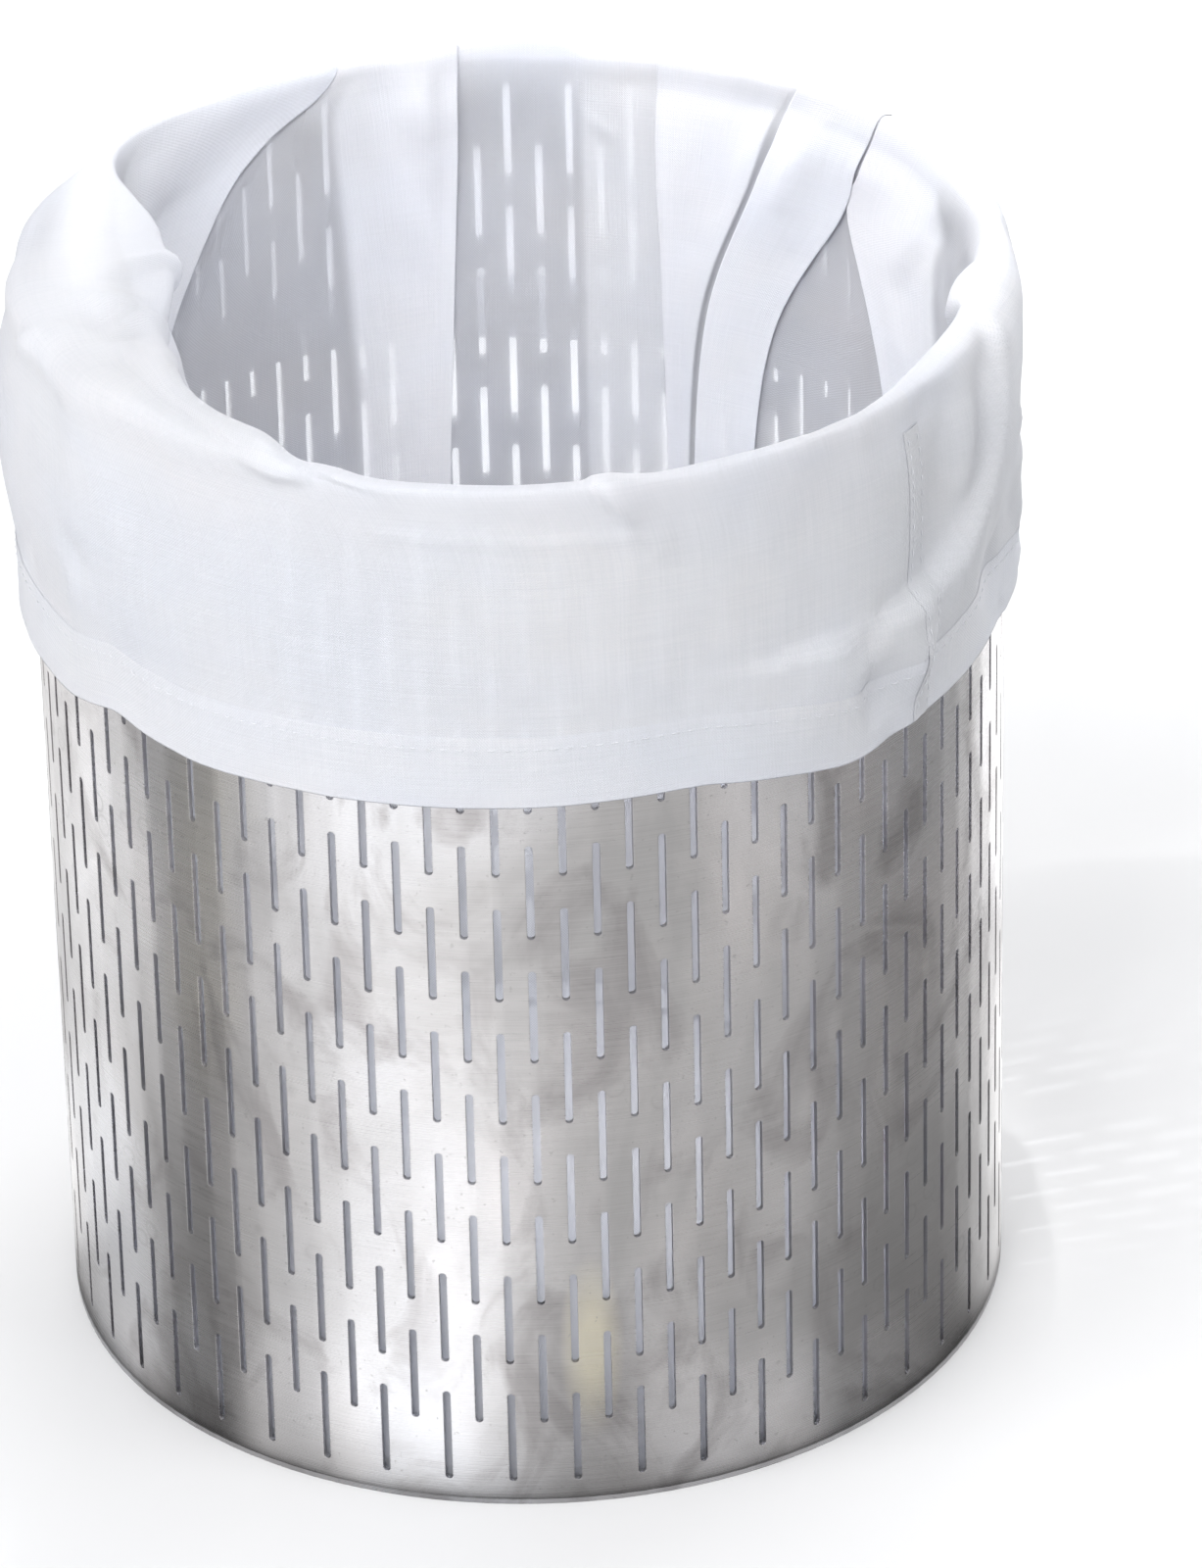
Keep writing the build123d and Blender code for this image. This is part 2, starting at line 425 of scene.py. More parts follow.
# How far the cloth stands off the wall in millimetres, at angles round the mold
OFF_WALL = {
    "low": {-120: 1, -80: 3, -40: 1, 60: 0.5, 100: 2, 150: 1, 180: 0.3, 220: 1},
    "waist": {
        -128: 3, -100: 8, -60: 9, -35: 3, 0: 2, 60: 2, 95: 5, 130: 2, 165: 1, 180: 0.3, 205: 1, 222: 4,
    },
    "chest": {
        -128: 3, -110: 12, -90: 17, -60: 16, -40: 6, -20: 1.5, 40: 1, 70: 4, 95: 6, 122: 3, 138: 1, 165: 2,
        172: 0.6, 186: 0.3, 205: 1.5, 222: 5,
    },
    "neck": {
        -126: 1, -118: 8, -110: 18, -100: 26, -90: 29, -75: 30, -62: 27, -53: 18, -45: 8, -36: 2.4,
        -26: 0.5, 40: 0.5, 66: 4, 95: 6, 118: 4, 131: 1.5, 145: 3, 160: 2.5, 172: 0.6, 186: 0.3, 200: 1,
        222: 3,
    },
    "throat": {
        -126: 1, -117: 6, -108: 14, -98: 20, -89: 22, -71: 19, -60: 14, -50: 7, -40: 4, -30: 2, -22: 0,
        45: 0.5, 60: 3, 75: 4, 95: 4, 120: 3, 160: 2, 174: 0.3, 200: 1, 222: 1,
    },
    "inner shoulder": {
        -125: 0.5, -118: 4, -112: 14, -103: 22.5, -89: 27, -78: 26, -71: 23, -60: 17, -52: 10, -45: 5.5,
        -38: 3.4, -31: 1.6, -24: 0.3, 45: 0.5, 57: 3.5, 67: 4.6, 76: 4.6, 86: 3.6, 100: 3, 120: 2, 145: 1,
        174: 0.2, 222: 0.5,
    },
    "inner brow": {
        -124: 0, -118: 4, -112: 14, -103: 22.5, -89: 27, -78: 26, -71: 23, -60: 16, -52: 9, -45: 5.5,
        -38: 3.4, -31: 1.6, -24: 0.3, 45: 0, 57: 3, 67: 4, 76: 3.8, 86: 2, 100: 1.5, 145: 0.5,
    },
    "outer shoulder": {-100: 1.5, -80: 1.8, -50: 1, 0: 0.4, 60: 1, 90: 1.5, 130: 0.5, 180: 1},
    "cuff top": {
        -150: 1.5, -110: 3, -85: 4, -60: 3, -45: 1.5, -20: 0.8, 30: 0.8, 45: 2, 60: 3, 78: 2.2, 100: 2,
        140: 1.5, 180: 2,
    },
    "cuff middle": {
        -150: 2, -110: 3.5, -85: 4.5, -62: 4, -50: 2.4, -30: 1, 0: 0.8, 30: 1, 45: 2.4, 60: 2.6, 80: 1.2,
        100: 2.2, 140: 2.8, 180: 2,
    },
    "hem top": {
        -150: 2, -110: 2, -85: 2.2, -62: 2.8, -53: 3.4, -47: 1.4, -30: 0.8, 0: 0.6, 30: 1, 40: 2, 48: 1,
        60: 1, 80: 1.8, 110: 1, 140: 2.5, 180: 1,
    },
    "hem foot": {
        -150: 2.2, -110: 1.6, -85: 2, -62: 3, -53: 3.8, -47: 1.9, -30: 1.5, 0: 1.3, 30: 1.6, 40: 2.8,
        48: 1.5, 60: 1.4, 80: 2, 110: 1.3, 140: 2.8, 180: 1.2,
    },
}

# How far the top of the cloth rides up over the rim, how far the foot of the cuff is off its
# mean height, and the share of each that the levels take
RIM_RIDE = {
    -140: 0.5, -120: 1.5, -100: 3.2, -75: 3.4, -60: 3.6, -50: 4.2, -42: 3.4, -33: 1.6, -26: 0.5, -21: 0,
    40: 0, 60: 0.8, 90: 1.4, 120: 1, 140: 0.3, 168: 0, 171: 0.2, 173: 3.4, 180: 3.9, 185: 3.0, 189: 0.8,
    200: 0.4,
}
FOOT_RISE = {
    -150: 1, -75: 0, -60: 0, -51: 3.3, -46: 0.6, -40: -0.7, -23: -0.4, 0: -0.2, 12: 0.3, 21: 0.5, 31: -1.9,
    38: -3.6, 43: -3.3, 50: -1.9, 60: -0.7, 70: 1.2, 100: 0, 150: -2,
}
RIDE_SHARE = {"throat": 0.2, "inner shoulder": 0.5, "inner brow": 0.8, "crown": 1, "outer brow": 0.7,
              "outer shoulder": 0.3}
RISE_SHARE = {"cuff middle": 0.15, "hem top": 0.9, "hem foot": 1.0}

# Creases pressed into the cloth. Each runs through points (angle, millimetres of cloth past
# the top of the rim, negative inside the bag). It stands up by a height, or is pushed in
# where that is negative, and dies away over a width on its left and one on its right as
# it is followed from its first point.
CREASES = [
    # right side of the cuff: the upper cloth sags over the lower
    (4.4, 16, 1.8, [(72, -1), (68.5, 8), (63, 29), (57.3, 39.6), (52.4, 43.4), (47.5, 44.8), (41.5, 44.5)]),
    (-3.2, 4, 5, [(54.5, 9), (55, 22), (53.8, 36), (52, 42)]),
    (1.6, 3, 4, [(61, 4), (60, 18), (57.5, 33)]),
    (2.2, 1.5, 4, [(50.5, 47), (49.5, 56), (49.8, 66)]),
    (-2.6, 5, 2.6, [(43, 47), (42, 56), (43.5, 68)]),
    (2.4, 3, 6, [(72, 28), (77, 45), (81, 60)]),
    (-1.8, 3, 5, [(65, 42), (67, 52), (71, 62)]),
    (0.9, 1.2, 3, [(40.5, -1), (42.5, 4), (43, 10)]),
    # front of the cuff: a nick and a lip in its top edge, and the mark of an old fold
    (2.0, 5, 1.0, [(8.2, -4), (9.2, 0), (11, 5), (14, 13)]),
    (1.7, 5, 1.2, [(-33, 1), (-28, 3.5), (-25, 2.5), (-23, -2)]),
    (0.22, 1.2, 1.2, [(-18, 13), (17, 13)]),
    # left side of the cuff, and the folds on the roll above it
    (1.8, 12, 7, [(-56, -2), (-56.5, 12), (-55, 26), (-55, 36), (-57, 50)]),
    (0.8, 3, 2, [(-48, 30), (-48.5, 47), (-48.5, 64)]),
    (3.0, 9, 1.8, [(-62, -3), (-52, -5), (-42, -4.5), (-33, -2.5), (-25, 0)]),
    (-2.6, 4, 5, [(-66, -8), (-56, -12), (-45, -13), (-36, -10)]),
    (2.6, 4, 2.2, [(-78, 2), (-71, -6), (-64, -10), (-55, -10), (-49, -7)]),
    (2.0, 4, 2.5, [(-78, -3), (-84, -10), (-88, -17), (-84, -25)]),
    (1.4, 4, 2.5, [(-64, 1), (-71, 9), (-74, 24), (-80, 40)]),
    (-1.2, 6, 6, [(-95, 4), (-92, 22), (-96, 44)]),
    # inside at the back
    (1.1, 3.5, 11, [(101, -2), (112.4, -13), (118.9, -27), (123, -34), (120, -60)]),
    (0.7, 8, 4, [(84, -3), (98, -12), (106, -24)]),
    (1.3, 5, 2.5, [(132.9, -4), (137.2, -10), (142, -21), (144.4, -34)]),
    (-1.0, 3, 5, [(136, -2), (146, -9), (152, -20), (154, -40)]),
    (1.5, 2, 6, [(190.5, -1), (191.2, -12), (190.9, -24), (190.6, -36)]),
    (-1.3, 4, 3, [(198, -3), (196, -12), (193, -24), (191.5, -36)]),
    (0.5, 1.5, 1.5, [(172, -14), (164, -22)]),
    (1.0, 8, 4, [(205, -6), (215, -5), (228, -10), (238, -20)]),
    # outside at the back, which hangs loosely
    (1.6, 6, 4, [(150, 2), (147, 22), (151, 48), (149, 66)]),
    (-1.4, 5, 5, [(168, 4), (172, 28), (170, 60)]),
    (1.7, 5, 7, [(206, 2), (204, 24), (209, 44), (208, 66)]),
    (-1.2, 5, 5, [(222, 6), (226, 30), (224, 62)]),
    (1.3, 6, 4, [(104, 4), (108, 26), (103, 48), (105, 64)]),
    (-1.0, 5, 5, [(120, 8), (118, 40), (122, 64)]),
]

# Where the cloth is doubled behind, so that less shows through it, and where shade is painted on it: angle,
# half width
DOUBLED_STRIP = (166, 5.2)


def around(table, angle):
    """Values stated at a few angles, blended round the whole circle."""
    stated = sorted((a % 360, value) for a, value in table.items())
    return np.interp(angle % 360, *zip(*stated), period=360)


def at_levels(stated):
    """Values at every level, blended between those stated and held past the ends."""
    known = [level_names.index(name) for name in stated]
    return np.interp(range(len(level_names)), known, list(stated.values()))


def blur(values, passes, period=0.0):
    """Smooths along the columns of a closed sheet whose values grow by period each turn."""
    for _ in range(passes):
        before = np.roll(values, 1, axis=1)
        before[:, 0] -= period
        after = np.roll(values, -1, axis=1)
        after[:, -1] += period
        values = (before + 2 * values + after) / 4
    return values


def pleat_stations(pleat, before):
    """Angles at each level, and layers of cloth behind, along the path of one pleat."""
    folded, thickness, edges = pleat
    start = at_levels({name: edge[0] for name, edge in edges.items()})
    end = at_levels({name: edge[1] for name, edge in edges.items()})
    lap = (end - start) * (0.45 if folded == "both" else 1.0)
    top = 2.0 * thickness
    if folded == "end":
        path = [(np.maximum(before, start - ease_angle), 0.0)]
    else:
        path = [(start, 0.0), (start + lap, 0.18 * top), (start, 0.8 * top)]
    path += [(start, top), (end, top)]
    if folded != "start":
        path += [(end, 0.8 * top), (end - lap, 0.18 * top), (end, 0.0)]
    return path, end


def sheet_plan():
    """Angle, and layers of cloth behind, of each column at each level."""
    first = np.full(len(level_names), side_seam_angle)
    stations = [(first, 0.0)]
    before = first
    for pleat in PLEATS:
        path, end = pleat_stations(pleat, before + 0.4)
        stations += path
        before = end
        if pleat[0] == "start":
            before = end + ease_angle
            stations.append((before, 0.0))
    stations.append((first + 360, 0.0))
    angle, depth = [], []
    for (here, here_depth), (there, there_depth) in zip(stations, stations[1:]):
        span = np.abs(there - here).max()
        count = max(3, round(span * 1.5))
        for step in range(count):
            share = step / count
            angle.append(here * (1 - share) + there * share)
            depth.append(np.full(len(level_names), here_depth * (1 - share) + there_depth * share))
    return blur(np.array(angle).T, 3, 360.0), blur(np.array(depth).T, 3)


def between_levels(values):
    """Smooth curve through the levels, sampled at every row of the mesh."""
    rows = []
    last = len(level_names) - 1
    for index, (_, steps) in enumerate(list(LEVELS.values())[:-1]):
        before, here = values[max(index - 1, 0)], values[index]
        there, beyond = values[index + 1], values[min(index + 2, last)]
        square = 2 * before - 5 * here + 4 * there - beyond
        cube = 3 * here - before - 3 * there + beyond
        for step in range(steps):
            t = step / steps
            rows.append(0.5 * (2 * here + (there - before) * t + square * t**2 + cube * t**3))
    rows.append(values[last])
    return np.array(rows)


def bag_surface():
    """Points and angles of the cloth, row by row from the bag's floor to the cuff's foot."""
    angle, layers = sheet_plan()
    radius = np.zeros_like(angle)
    height = np.zeros_like(angle)
    for index, (name, (level, _)) in enumerate(LEVELS.items()):
        off = around(OFF_WALL[name], angle[index]) if name in OFF_WALL else 0.0
        radius[index] = lining_radius - off if index < crown else cuff_radius + off
        height[index] = level
    brow = around(OFF_WALL["inner brow"], angle[crown])
    radius[crown] = (lining_radius + cuff_radius) / 2 - 0.45 * brow
    radius = blur(radius, 36)

    ride = blur(around(RIM_RIDE, angle), 2)
    rise = blur(around(FOOT_RISE, angle), 4)
    for moved, shares in ((ride, RIDE_SHARE), (rise, RISE_SHARE)):
        for name, share in shares.items():
            level = level_names.index(name)
            height[level] += share * moved[level]

    layers = layers * at_levels(pressed)[:, None]

    angle, radius, height, layers = (between_levels(grid) for grid in (angle, radius, height, layers))
    along_radius = np.gradient(radius, axis=0)
    along_height = np.gradient(height, axis=0)
    length = np.hypot(along_radius, along_height) + 1e-9
    depth = layers * layer_gap
    radius = radius - along_height / length * depth
    height = height + along_radius / length * depth
    turn = np.radians(angle)
    return np.stack([radius * np.sin(turn), -radius * np.cos(turn), height], axis=2), angle, layers


def surface_normals(points):
    """Unit normals of a closed sheet, pointing away from the wall."""
    across = np.roll(points, -1, axis=1) - np.roll(points, 1, axis=1)
    along = np.gradient(points, axis=0)
    normal = np.cross(along, across)
    return normal / (np.linalg.norm(normal, axis=2, keepdims=True) + 1e-9)


def outward(points):
    """Unit directions away from the wall that don't turn with the pleats."""
    radial = points.copy()
    radial[:, :, 2] = 0
    radial /= np.linalg.norm(radial, axis=2, keepdims=True)
    profile = np.hypot(points[:, :, 0], points[:, :, 1])
    along_radius = np.gradient(blur(profile, 20), axis=0)
    along_height = np.gradient(blur(points[:, :, 2], 20), axis=0)
    length = np.hypot(along_radius, along_height)[:, :, None] + 1e-9
    return (radial * -along_height[:, :, None] + np.array([0, 0, 1.0]) * along_radius[:, :, None]) / length


def cloth_past_rim(points):
    """Millimetres of cloth from the top of the rim, along each column."""
    steps = np.linalg.norm(np.diff(points, axis=0), axis=2)
    along = np.concatenate([np.zeros((1, points.shape[1])), np.cumsum(steps, axis=0)])
    return along - along[rim_row]


def crease_relief(angle, past_rim):
    """Height of all the creases over the sheet."""
    relief = np.zeros_like(angle)
    around_wall = radians(1) * wall_radius
    for height, left_width, right_width, line in CREASES:
        points = np.array(line, float)
        middle = points[:, 0].mean()
        x = ((angle - middle + 180) % 360 - 180) * around_wall
        xs = (points[:, 0] - middle) * around_wall
        ys = points[:, 1]
        nearest = np.full(angle.shape, 1e9)
        side = np.zeros_like(angle)
        end_gap = np.zeros_like(angle)
        for x0, y0, x1, y1 in zip(xs, ys, xs[1:], ys[1:]):
            dx, dy = x1 - x0, y1 - y0
            share = np.clip(((x - x0) * dx + (past_rim - y0) * dy) / (dx * dx + dy * dy), 0, 1)
            away = np.hypot(x - x0 - share * dx, past_rim - y0 - share * dy)
            closer = away < nearest
            nearest = np.where(closer, away, nearest)
            side = np.where(closer, (x - x0) * dy - (past_rim - y0) * dx, side)
        for x0, y0 in ((xs[0], ys[0]), (xs[-1], ys[-1])):
            end_gap = np.maximum(end_gap, np.exp(-(((x - x0) ** 2 + (past_rim - y0) ** 2) / 30)))
        width = np.where(side > 0, left_width, right_width)
        relief += height * (1 - 0.8 * end_gap) * np.exp(-((nearest / width) ** 2)) ** 0.8
    return relief


def wrinkle_relief(angle, past_rim):
    """Small wrinkles, mostly up and down the cloth, the same for the layers of a pleat."""
    relief = np.zeros_like(angle)
    for row in range(angle.shape[0]):
        for column in range(angle.shape[1]):
            turn = radians(angle[row, column])
            x, y, z = ring_point(95, turn, past_rim[row, column])
            broad = noise.noise(Vector((x, y, z * 0.35)) / 26)
            small = noise.noise(Vector((x + 300, y, z * 0.5)) / 9)
            tiny = noise.noise(Vector((x, y + 300, z * 0.7)) / 3.6)
            relief[row, column] = 0.75 * broad + 0.2 * small + 0.05 * tiny
    return relief


def clear_of_wall(points):
    """Keeps the lining inside the wall and the cuff outside it, below the top of the rim."""
    rows = np.arange(len(points))[:, None]
    radius = np.hypot(points[:, :, 0], points[:, :, 1])
    beside = points[:, :, 2] < rim_height + 0.3
    inside, outside = lining_radius + 0.15, wall_radius + 0.3
    allowed = np.where(rows < rim_row, np.minimum(radius, inside), np.maximum(radius, outside))
    share = np.where(beside, allowed / radius, 1.0)
    return points * np.stack([share, share, np.ones_like(share)], axis=2)


def shaped_bag():
    points, angle, layers = bag_surface()
    past_rim = cloth_past_rim(points)
    relief = crease_relief(angle, past_rim) + wrinkle_relief(angle, past_rim)
    relief = np.maximum(relief, -0.5 - np.abs(np.clip(relief, -9, 0)) * 0.5)
    points = points + outward(points) * relief[:, :, None]
    return clear_of_wall(points), angle, past_rim, layers


cloth_points, cloth_angle, cloth_reach, cloth_layers = shaped_bag()
row_count, column_count = cloth_points.shape[:2]
cloth_normals = surface_normals(cloth_points)


def running_length(steps):
    """Length from the start of a line to the end of each of its steps."""
    return np.concatenate([[0], np.cumsum(steps)])


def flat_coordinates(points):
    """U and V of the cloth laid flat, in metres, from lengths measured along the mesh."""
    across = np.linalg.norm(np.roll(points, -1, axis=1) - points, axis=2).mean(axis=0)
    along = np.linalg.norm(np.diff(points, axis=0), axis=2).mean(axis=1)
    u, v = running_length(across), running_length(along)
    return u[:-1] * MM, v * MM, u[-1] * MM


# Millimetres from the cuff to its turned-up hem, to the hem's stitched edge, and to the
# outside of the fold, with the drop of the fold
HEM_GAP, HEM_EDGE, HEM_FOLD, FOLD_DROP = 0.26, 0.12, 0.30, 0.25


def add_hem(points):
    """Turns the foot of the cuff up on its outer face, as a hem."""
    normal = surface_normals(points)
    hem_rows = LEVELS["hem top"][1] + 1
    turned = [points[-1] + normal[-1] * HEM_FOLD - np.array([0, 0, FOLD_DROP])]
    for step in range(hem_rows):
        row = -1 - step
        gap = HEM_GAP if step < hem_rows - 1 else HEM_EDGE
        turned.append(points[row] + normal[row] * gap)
    return np.concatenate([points, np.array(turned)])


def on_cloth(column, row, out):
    """Point and normal of the cloth at fractional grid places, out millimetres off its face."""
    column %= column_count
    c0, r0 = int(column), min(int(row), row_count - 2)
    cf, rf = column - c0, row - r0
    c1 = (c0 + 1) % column_count

    def blend(grid):
        top = grid[r0, c0] * (1 - cf) + grid[r0, c1] * cf
        below = grid[r0 + 1, c0] * (1 - cf) + grid[r0 + 1, c1] * cf
        return top * (1 - rf) + below * rf

    normal = blend(cloth_normals)
    normal /= np.linalg.norm(normal)
    return blend(cloth_points) + normal * out, normal


# ---- build the pieces

steel = brushed_steel("steel_brushed")
plate_steel = brushed_steel("steel_plate", grain=(2600.0, 60.0, 60.0))
weld = weld_steel("steel_weld")
cloth = press_cloth("press_cloth")
thread = sewing_thread("sewing_thread")

metal = {"slotted_wall": steel, "drain_plate": plate_steel, "wall_weld": weld, "plate_tacks": weld}
for node, material in metal.items():
    cad_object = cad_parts[node]
    cad_object.data.materials.clear()
    cad_object.data.materials.append(material)

hem_top_row = row_count - 1 - LEVELS["hem top"][1]
cloth_u, cloth_v, girth = flat_coordinates(cloth_points)

# Grid column of the cuff nearest to the side seam
off_seam = (cloth_angle[hem_top_row] - side_seam_angle + 180) % 360 - 180
seam_middle = int(np.argmin(np.abs(off_seam)))


def smooth_step(values, low, high):
    share = np.clip((values - low) / (high - low), 0, 1)
    return share * share * (3 - 2 * share)


def cloth_piece(name, points, faces, uv, cover, painted_shade, closed_width=None):
    """Piece of cloth from points in millimetres, with how dense it is and how much shade is painted into it.
    """
    piece = new_object(name, np.asarray(points).reshape(-1, 3) * MM, faces, cloth)
    add_uv(piece, uv, closed_width)
    for attribute, values in (("cover", cover), ("painted_shade", painted_shade)):
        add_attribute(piece, attribute, values * np.ones(len(uv)))
    return piece


def doubled_strip():
    """1 at the angles where the cloth is doubled behind."""
    middle, half_width = DOUBLED_STRIP
    away = np.abs((cloth_angle - middle + 180) % 360 - 180)
    return 1 - smooth_step(away, half_width - 0.5, half_width + 0.5)


def cloth_cover():
    """How dense the cloth looks, from 0 in a single layer of the lining to 1 in the cuff.

    Here and in the function for painted shade that follows, angles are in degrees and reaches in millimetres
    past the rim."""
    at_back = smooth_step(np.abs((cloth_angle - 180) % 360 - 180), 70, 110)
    cover = smooth_step(cloth_reach, -16, 2) * (1 - 0.55 * at_back * smooth_step(cloth_reach, 2, 9))
    cover = np.maximum(cover, 0.6 * doubled_strip() * smooth_step(-cloth_reach, -1, 3))
    return np.maximum(cover, 0.8 * smooth_step(cloth_layers, 0.5, 1.0))


def cloth_painted_shade():
    """How much shade is painted into the cloth, greying it and dimming the light through it: low in the bag,
    on the right of the cuff, on the left roll and on the doubled strip.
    """
    from_front = (cloth_angle + 180) % 360 - 180
    low = 0.45 * smooth_step(-cloth_reach, 110, 170)
    shaded_right_cuff = smooth_step(from_front, 36, 50) * (1 - smooth_step(from_front, 82, 96))
    shaded_right_cuff = 0.36 * shaded_right_cuff * smooth_step(cloth_reach, 4, 20)
    on_roll = smooth_step(cloth_angle, 232, 250) * (1 - smooth_step(cloth_angle, 325, 336))
    on_roll *= smooth_step(cloth_reach, -34, -20) * (1 - smooth_step(cloth_reach, 0, 14))
    doubled = 0.42 * 0.6 * doubled_strip() * smooth_step(-cloth_reach, 2, 8)
    return np.maximum.reduce([low, shaded_right_cuff, 0.4 * on_roll, doubled])


def bag_cloth():
    """The whole bag with its turned-over cuff and hem."""
    hemmed = add_hem(cloth_points)
    hem_rows = len(hemmed) - row_count
    hem_v = cloth_v[-1] + np.linspace(0, hem_top - cuff_foot, hem_rows) * MM
    v = np.concatenate([cloth_v, hem_v])
    faces = grid_faces(len(hemmed), column_count, closed=True)
    uv = [(across, along) for along in v for across in cloth_u]
    on_hem = np.ones((hem_rows, column_count))
    cover = np.concatenate([cloth_cover(), on_hem]).ravel()
    painted_shade = np.concatenate([cloth_painted_shade(), 0 * on_hem]).ravel()
    piece = cloth_piece("bag_cloth", hemmed, faces, uv, cover, painted_shade, girth)
    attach(piece, "bag")
    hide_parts("bag_wall", "cuff_hem")
    return piece, float(v[-1])


def base_cloth():
    """Round floor of the bag, lying on the drain plate."""
    rings, spokes = 40, 96
    points = []
    for ring in range(rings):
        for spoke in range(spokes):
            turn = 2 * pi * spoke / spokes
            reach = 0.6 + (lining_radius - 0.8) * ring / (rings - 1)
            x, y, height = ring_point(reach, turn, bag_foot + 1.5)
            rumple = noise.noise(Vector((x, y, 0)) / 22) + 0.4 * noise.noise(Vector((x, y, 9)) / 9)
            points.append((x, y, height + 1.1 * rumple))
    middle = len(points)
    points.append((0.0, 0.0, points[0][2]))
    faces = grid_faces(rings, spokes, closed=True)
    faces += [(middle, (spoke + 1) % spokes, spoke) for spoke in range(spokes)]
    uv = [(x * MM + 0.2, y * MM + 0.2) for x, y, _ in points]
    # The floor of the bag is greyed a little by painted shade
    piece = cloth_piece("bag_base_cloth", points, faces, uv, cover=0.9, painted_shade=0.1)
    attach(piece, "bag")
    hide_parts("bag_floor")
    return piece


def seam_ring():
    """Lapped seam between the bag's floor and its wall, puckered by its stitches."""
    width, spokes, across, puckers = 7.0, 360, 6, 144
    points, uv = [], []
    for step in range(across):
        share = step / (across - 1)
        for spoke in range(spokes):
            turn = 2 * pi * spoke / spokes
            pucker = 0.25 * sin(puckers * turn)
            reach = lining_radius - 1.2 - width * share
            arch = 0.9 * sin(pi * (0.15 + 0.8 * share))
            base = bag_foot + 2.6 + 0.3 * noise.noise(Vector((sin(turn) * 4, cos(turn) * 4, 0)))
            points.append(ring_point(reach, turn, base + arch + pucker * share))
            uv.append((turn * reach * MM, share * width * MM))
    faces = grid_faces(across, spokes, closed=True)
    round_floor = 2 * pi * lining_radius * MM
    # The seam at the foot of the bag is greyed by painted shade
    piece = cloth_piece("floor_seam_cloth", points, faces, uv, 1, 0.4, round_floor)
    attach(piece, "bag")
    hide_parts("floor_seam")
    return piece


def seam_column(row, offset):
    """Grid column at an offset in millimetres from the middle of the side seam."""
    spacing = np.linalg.norm(cloth_points[row, seam_middle + 1] - cloth_points[row, seam_middle])
    return seam_middle + offset / spacing


def side_strip():
    """Felled side seam up the outside of the cuff: a narrow strip that stands a little proud."""
    width, across = 5.5, 9
    rows = range(cuff_row, row_count)
    points, uv = [], []
    for row in rows:
        under = HEM_GAP if row >= hem_top_row else 0.0
        for step in range(across):
            share = step / (across - 1)
            out = 0.1 + under + 0.32 * sin(pi * share) ** 0.7
            points.append(on_cloth(seam_column(row, (share - 0.5) * width), row, out)[0])
            uv.append((share * width * MM + 0.9, cloth_v[row]))
    faces = grid_faces(len(rows), across, closed=False)
    # The strip is greyed by painted shade, like the cuff around it
    piece = cloth_piece("side_seam_strip", points, faces, uv, cover=1, painted_shade=0.5)
    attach(piece, "bag")
    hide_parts("side_seam")
    return piece


STITCH_LENGTH, STITCH_THICKNESS, STITCH_PITCH = 1.6, 0.2, 2.9


def stitch(center, along, normal):
    """Vertices and faces of one stitch: a short arched thread, its ends sunk in the cloth."""
    side = np.cross(along, normal)
    vertices = []
    stops, corners = 5, 5
    for stop in range(stops):
        share = stop / (stops - 1)
        radius = STITCH_THICKNESS / 2 * (0.45 + 0.55 * sin(pi * share))
        rise = STITCH_THICKNESS * (1.1 * sin(pi * share) - 0.35)
        spine = center + along * (share - 0.5) * STITCH_LENGTH + normal * rise
        for corner in range(corners):
            turn = 2 * pi * corner / corners
            vertices.append(spine + radius * (side * cos(turn) + normal * sin(turn)))
    faces = grid_faces(stops, corners, closed=True)
    faces.append(tuple(reversed(range(corners))))
    faces.append(tuple(range((stops - 1) * corners, stops * corners)))
    return vertices, faces


def stitched(name, stitches, replaced):
    """One piece of many stitches, each given by its centre, direction and normal."""
    vertices, faces = [], []
    for center, along, normal in stitches:
        points, sides = stitch(center, along, normal)
        faces += [tuple(index + len(vertices) for index in side) for side in sides]
        vertices += points
    piece = new_object(name, np.array(vertices) * MM, faces, thread)
    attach(piece, "bag")
    if replaced:
        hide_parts(replaced)
    return piece


def hem_stitches():
    """Straight stitching round the cuff, just under the folded top of the hem."""
    row, above_hem = hem_top_row + 1.6, HEM_GAP + 0.05
    lower = int(row)
    share = row - lower
    line = cloth_points[lower] * (1 - share) + cloth_points[lower + 1] * share
    shown = np.concatenate([[True], np.diff(cloth_angle[lower]) > 0.2])
    reach = running_length(np.linalg.norm(np.diff(line, axis=0), axis=1))
    stitches = []
    for place in np.arange(1, reach[-1] - 1, STITCH_PITCH):
        column = float(np.interp(place, reach, np.arange(column_count)))
        if not shown[int(column)]:
            continue
        here, normal = on_cloth(column, row, above_hem)
        ahead, _ = on_cloth(column + 0.4, row, above_hem)
        along = (ahead - here) / np.linalg.norm(ahead - here)
        stitches.append((here, along, normal))
    return stitched("hem_stitches", stitches, "hem_thread")


def side_stitches():
    """Two rows of stitches up the side seam."""
    above_strip = 0.34
    stitches = []
    for offset in (-1.75, 1.75):
        path = []
        for row in range(cuff_row + 1, row_count - 1):
            out = HEM_GAP + above_strip if row >= hem_top_row else above_strip
            path.append(on_cloth(seam_column(row, offset), row, out))
        points = np.array([point for point, _ in path])
        reach = running_length(np.linalg.norm(np.diff(points, axis=0), axis=1))
        for place in np.arange(1.5, reach[-1] - 1, STITCH_PITCH):
            index = min(int(np.searchsorted(reach, place)), len(points) - 1)
            share = (place - reach[index - 1]) / (reach[index] - reach[index - 1])
            here = points[index - 1] * (1 - share) + points[index] * share
            along = points[index] - points[index - 1]
            stitches.append((here, along / np.linalg.norm(along), path[index][1]))
    return stitched("side_stitches", stitches, "side_threads")


